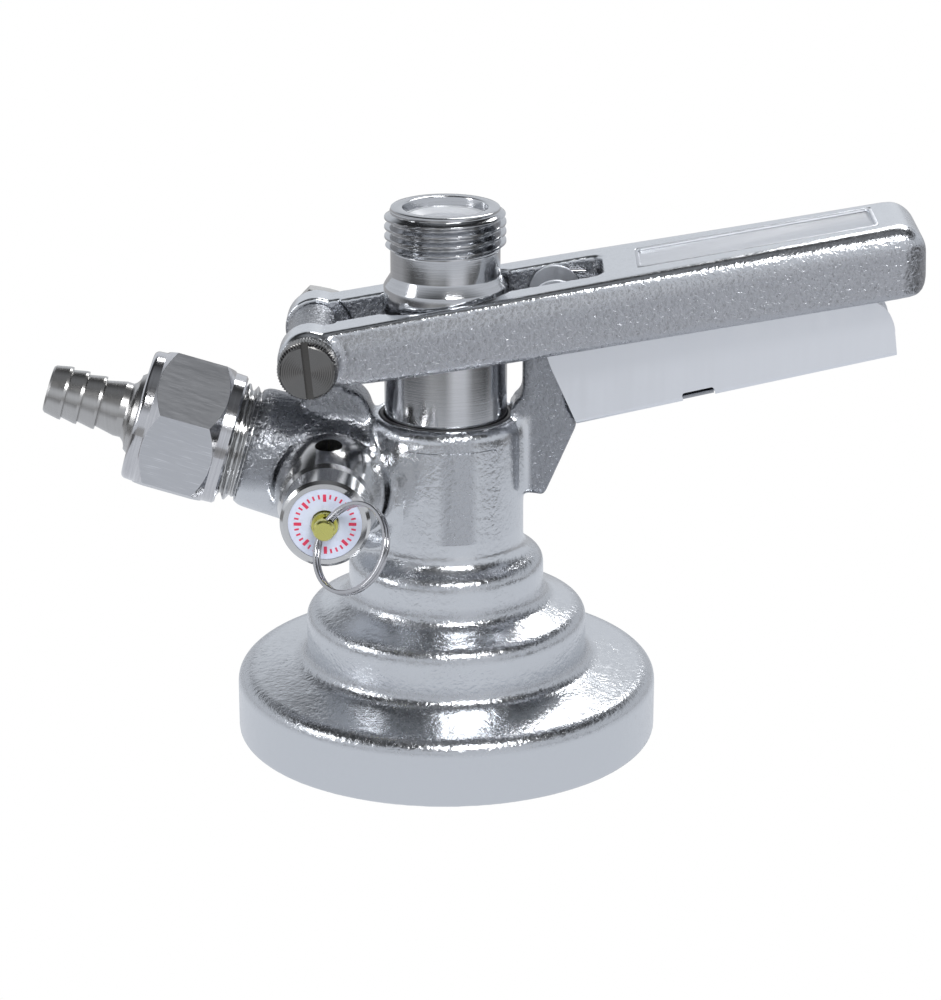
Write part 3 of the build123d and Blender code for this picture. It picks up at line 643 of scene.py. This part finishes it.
for i, c in enumerate((-0.385, 0.385)):
    tr = lathe("ring_turn_%d" % (i + 1), turn_profile(c), PR_O, RING_N, 160)
    tr.data.materials.append(M["wire"])
    smooth_shade(tr)
    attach(tr, "ring")
    if i == 0:
        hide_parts("pull_ring")


# ------------------------------------------------------------------ lips inside the fold's slots
def web_lips():
    bm = bmesh.new()
    fu = Vector((0.9748, 0, 0.2230))
    up = Vector((-0.2230, 0, 0.9748))
    base = Vector((47.9, 0, 69.06))
    for sg in (-1, 1):
        rows = []
        for k in range(15):
            s_ = -3.0 + 6.0 * k / 14
            row = []
            for j in range(13):
                a = math.radians(-80 + 170 * j / 12)
                p = base + fu * s_ + up * (0.46 + 0.52 * math.sin(a)) + Vector((0, sg * (4.1 + 0.9 * math.cos(a)), 0))
                row.append(bm.verts.new(p * MM))
            row.append(bm.verts.new((base + fu * s_ + up * 0.98 + Vector((0, sg * 3.3, 0))) * MM))
            row.append(bm.verts.new((base + fu * s_ + up * 0.02 + Vector((0, sg * 3.3, 0))) * MM))
            rows.append(row)
        n = len(rows[0])
        for a_, b_ in zip(rows, rows[1:]):
            for j in range(n):
                k = (j + 1) % n
                bm.faces.new((a_[j], a_[k], b_[k], b_[j]))
        bm.faces.new(rows[0])
        bm.faces.new(rows[-1])
    bmesh.ops.recalc_face_normals(bm, faces=bm.faces)
    me = bpy.data.meshes.new("web_lips")
    bm.to_mesh(me)
    bm.free()
    ob = bpy.data.objects.new("web_lips", me)
    scene.collection.objects.link(ob)
    # dark lip steel: painted shade inside the slots
    ob.data.materials.append(M["lip"])
    shade_auto(ob, 50)
    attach(ob, "trigger")


web_lips()


# ------------------------------------------------------------------ bare panel on the barrel
def barrel_panel():
    az0, az1, z0, z1 = math.radians(-31), math.radians(41), 42.5, 60.6
    R, sink, edge, rnd = 15.20, 0.40, 0.10, 0.7
    nu, nv = 110, 100
    us = [az0 - edge / R] + [az0 + (az1 - az0) * i / nu for i in range(nu + 1)] + [az1 + edge / R]
    vs = [z0 - edge] + [z0 + (z1 - z0) * i / nv for i in range(nv + 1)] + [z1 + edge]
    verts, faces, vals = [], [], []
    for i, a in enumerate(us):
        for j, zz in enumerate(vs):
            rim = i in (0, len(us) - 1) or j in (0, len(vs) - 1)
            # rounded corners
            du = min(a - az0, az1 - a) * R
            dv = min(zz - z0, z1 - zz)
            corner = du < rnd and dv < rnd and math.hypot(rnd - du, rnd - dv) > rnd
            r = R - (sink if rim or corner else 0.0)
            verts.append((r * math.sin(a) * MM, -r * math.cos(a) * MM, zz * MM))
            d = math.degrees(a)
            # the same duller, darker front patch as the barrel: painted shade
            k = 0.62 * float(step(-abs(d - 10.0), -19.0, -7.0))
            vals.append(max(k, 0.18))
    m = len(vs)
    for i in range(len(us) - 1):
        for j in range(m - 1):
            faces.append((i * m + j, (i + 1) * m + j, (i + 1) * m + j + 1, i * m + j + 1))
    me = bpy.data.meshes.new("barrel_panel")
    me.from_pydata(verts, [], faces)
    me.update()
    ob = bpy.data.objects.new("barrel_panel", me)
    scene.collection.objects.link(ob)
    mask_attr(me, vals)
    me.materials.append(M["cast"])
    shade_auto(ob, 40)
    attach(ob, "base")


barrel_panel()
grip_recess()

# the wiper's lip, low in its seat
lip = lathe("wiper_skin", [(11.78, 62.4), (12.66, 62.4), (12.66, 64.15), (12.45, 64.4), (12.0, 64.4), (11.78, 64.1)],
            (0, 0, 0), (0, 0, 1), 160)
lip.data.materials.append(M["rubber"])
shade_auto(lip, 40)
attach(lip, "base")
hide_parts("probe_wiper")


# ------------------------------------------------------------------ knurled pivot screw
def knurled_screw():
    prof = [(0.0, 20.6), (2.5, 20.6), (3.0, 20.1), (3.0, -16.5), (5.2, -16.5), (5.45, -16.6),
            (5.68, -17.0), (5.68, -18.2), (5.68, -19.4), (5.68, -20.3), (5.45, -20.9), (5.05, -21.35),
            (4.8, -21.48)]
    prof += [(4.8 - 0.2 * i, -21.48 + 0.05 * (i % 2)) for i in range(1, 24)] + [(0.0, -21.48)]
    seg, teeth = 480, 60
    verts, faces = [], []
    n = len(prof)
    for i in range(seg):
        th = 2 * math.pi * i / seg
        w = abs((th * teeth / (2 * math.pi)) % 1.0 - 0.5) * 2
        for r, y in prof:
            if r > 5.4 and y < -16.8 and y > -20.95:
                r -= 0.26 * w
            verts.append(((-25.0 + r * math.cos(th)) * MM, y * MM, (78.4 + r * math.sin(th)) * MM))
    for i in range(seg):
        a, b = i * n, ((i + 1) % seg) * n
        for j in range(n - 1):
            faces.append((a + j, b + j, b + j + 1, a + j + 1))
    me = bpy.data.meshes.new("screw_skin")
    me.from_pydata(verts, [], faces)
    bm = bmesh.new()
    bm.from_mesh(me)
    bmesh.ops.remove_doubles(bm, verts=bm.verts, dist=1e-7)
    bmesh.ops.recalc_face_normals(bm, faces=bm.faces)
    bm.to_mesh(me)
    bm.free()
    ob = bpy.data.objects.new("screw_skin", me)
    scene.collection.objects.link(ob)
    bm = bmesh.new()
    bmesh.ops.create_cube(bm, size=1.0)
    bmesh.ops.scale(bm, vec=(0.0014, 0.0032, 0.014), verts=bm.verts)
    bmesh.ops.rotate(bm, matrix=Matrix.Rotation(-math.radians(5.45), 3, "Y"), verts=bm.verts)
    bmesh.ops.translate(bm, vec=(-0.025, -0.0216, 0.0784), verts=bm.verts)
    cme = bpy.data.meshes.new("cutter")
    bm.to_mesh(cme)
    bm.free()
    cut = bpy.data.objects.new("cutter", cme)
    scene.collection.objects.link(cut)
    mod = ob.modifiers.new("b", "BOOLEAN")
    mod.operation = "DIFFERENCE"
    mod.solver = "EXACT"
    mod.object = cut
    dg = bpy.context.evaluated_depsgraph_get()
    new = bpy.data.meshes.new_from_object(ob.evaluated_get(dg))
    ob.modifiers.clear()
    ob.data = new
    bpy.data.objects.remove(cut)
    ob.data.materials.clear()
    ob.data.materials.append(M["screw"])
    shade_auto(ob, 28)
    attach(ob, "handle")
    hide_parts("pivot_screw")


knurled_screw()


# ------------------------------------------------------------------ red ticks on the disc
def ticks():
    bm = bmesh.new()
    n = 32
    for i in range(n):
        a = 2 * math.pi * i / n
        long = i % 4 == 0
        r0, r1, w = (4.35, 5.75, 0.30) if long else (4.9, 5.75, 0.17)
        ca, sa = math.cos(a), math.sin(a)
        c0 = [(r0, -w), (r1, -w), (r1, w), (r0, w)]
        lay = []
        for yy in (-30.88, -30.93):
            lay.append([bm.verts.new(((-21.6 + (p * ca - q * sa)) * MM, yy * MM,
                                      (52.4 + (p * sa + q * ca)) * MM)) for p, q in c0])
        bm.faces.new(lay[1])
        bm.faces.new(lay[0][::-1])
        for j in range(4):
            k = (j + 1) % 4
            bm.faces.new((lay[0][j], lay[0][k], lay[1][k], lay[1][j]))
    bmesh.ops.recalc_face_normals(bm, faces=bm.faces)
    me = bpy.data.meshes.new("disc_ticks")
    bm.to_mesh(me)
    bm.free()
    ob = bpy.data.objects.new("disc_ticks", me)
    scene.collection.objects.link(ob)
    ob.data.materials.append(M["red"])
    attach(ob, "base")


ticks()

# ------------------------------------------------------------------ stage and light
SKY = [(-1.0, 0.6), (0.0, 0.74), (0.40, 0.76), (0.54, 0.30), (0.62, 0.04), (0.84, 0.03),
       (0.93, 0.14), (1.0, 0.24)]
# position is the turn round the object: 0 back, 0.25 left, 0.5 front, 0.75 right
FLOOR_BANDS = [(0.0, (0.5, 0.5, 0.51)), (0.22, (0.45, 0.45, 0.46)), (0.30, (0.10, 0.10, 0.10)),
               (0.375, (0.16, 0.16, 0.165)), (0.43, (0.42, 0.42, 0.42)), (0.50, (0.30, 0.30, 0.30)),
               (0.545, (0.85, 0.86, 0.89)), (0.60, (0.80, 0.81, 0.84)), (0.645, (0.22, 0.22, 0.22)),
               (0.72, (0.05, 0.05, 0.05)), (0.80, (0.45, 0.45, 0.46)), (1.0, (0.5, 0.5, 0.51))]
me = bpy.data.meshes.new("floor")
S = 4.0
me.from_pydata([(-S, -S, -0.00005), (S, -S, -0.00005), (S, S, -0.00005), (-S, S, -0.00005)], [],
               [(0, 1, 2, 3)])
floor = bpy.data.objects.new("floor", me)
scene.collection.objects.link(floor)
fm = Mat("floor")
ft = fm.t
ft.nodes.remove(fm.p)
outn = ft.nodes["Material Output"]
pos = fm.n("ShaderNodeTexCoord").outputs["Object"]
sepf = fm.n("ShaderNodeSeparateXYZ")
fm.l(pos, sepf.inputs[0])
ang = fm.n("ShaderNodeMath", operation="ARCTAN2")
fm.l(sepf.outputs["X"], ang.inputs[0])
fm.l(fm.math("MULTIPLY", sepf.outputs["Y"], -1.0), ang.inputs[1])
# bands round the object that a vertical tube mirrors, from the left round to the right
deg = fm.math("DIVIDE", ang.outputs[0], math.pi)
bands = fm.ramp(fm.rng(deg, 0.0, 1.0, -1.0, 1.0), FLOOR_BANDS)
dist = fm.n("ShaderNodeVectorMath", operation="LENGTH")
fm.l(pos, dist.inputs[0])
far = fm.rng(dist.outputs["Value"], 0.0, 1.0, 0.205, 0.24)
glow = fm.n("ShaderNodeEmission")
fm.l(fm.mix(far, (0.74, 0.765, 0.81), bands), glow.inputs["Color"])
white = fm.n("ShaderNodeEmission")
white.inputs["Color"].default_value = (1, 1, 1, 1)
white.inputs["Strength"].default_value = 1.0
lp = fm.n("ShaderNodeLightPath")
mx = fm.n("ShaderNodeMixShader")
fm.l(lp.outputs["Is Camera Ray"], mx.inputs[0])
fm.l(glow.outputs[0], mx.inputs[1])
fm.l(white.outputs[0], mx.inputs[2])
fm.l(mx.outputs[0], outn.inputs["Surface"])
floor.data.materials.append(fm.m)

world = bpy.data.worlds.new("studio")
scene.world = world
world.use_nodes = True
wt = world.node_tree
bg = wt.nodes["Background"]
tc = wt.nodes.new("ShaderNodeTexCoord")
sep = wt.nodes.new("ShaderNodeSeparateXYZ")
wt.links.new(tc.outputs["Generated"], sep.inputs[0])
rampn = wt.nodes.new("ShaderNodeValToRGB")
mr = wt.nodes.new("ShaderNodeMapRange")
mr.inputs["From Min"].default_value = -1
mr.inputs["From Max"].default_value = 1
wt.links.new(sep.outputs["Z"], mr.inputs["Value"])
wt.links.new(mr.outputs["Result"], rampn.inputs["Fac"])
# brightness against the height of the direction: -1 straight down, 1 straight up
e = rampn.color_ramp.elements
while len(e) < len(SKY):
    e.new(0.5)
for el, (p, v) in zip(e, SKY):
    el.position = (p + 1) / 2
    el.color = (v * 0.965, v, v * 1.055, 1)
wt.links.new(rampn.outputs["Color"], bg.inputs["Color"])
bgw = wt.nodes.new("ShaderNodeBackground")
bgw.inputs["Color"].default_value = (1, 1, 1, 1)
wlp = wt.nodes.new("ShaderNodeLightPath")
wmx = wt.nodes.new("ShaderNodeMixShader")
wt.links.new(wlp.outputs["Is Camera Ray"], wmx.inputs[0])
wt.links.new(bg.outputs[0], wmx.inputs[1])
wt.links.new(bgw.outputs[0], wmx.inputs[2])
wt.links.new(wmx.outputs[0], wt.nodes["World Output"].inputs["Surface"])
scene.view_settings.view_transform = "Standard"
scene.view_settings.look = "None"


def area(name, loc, size, power, target=(0, 0, 0.06), sy=None):
    d = bpy.data.lights.new(name, "AREA")
    d.energy = power
    d.size = size
    if sy:
        d.shape = "RECTANGLE"
        d.size_y = sy
    ob = bpy.data.objects.new(name, d)
    scene.collection.objects.link(ob)
    ob.location = loc
    ob.rotation_euler = (Vector(loc) - Vector(target)).to_track_quat("Z", "Y").to_euler()
    return ob


area("key", (0.26, -0.72, 0.84), 0.46, 6.8, sy=0.22)
area("left", (-1.0, -0.35, 0.50), 0.25, 2.2, sy=0.4)
area("rim", (0.25, 0.85, 0.80), 0.5, 2.5, sy=0.16)
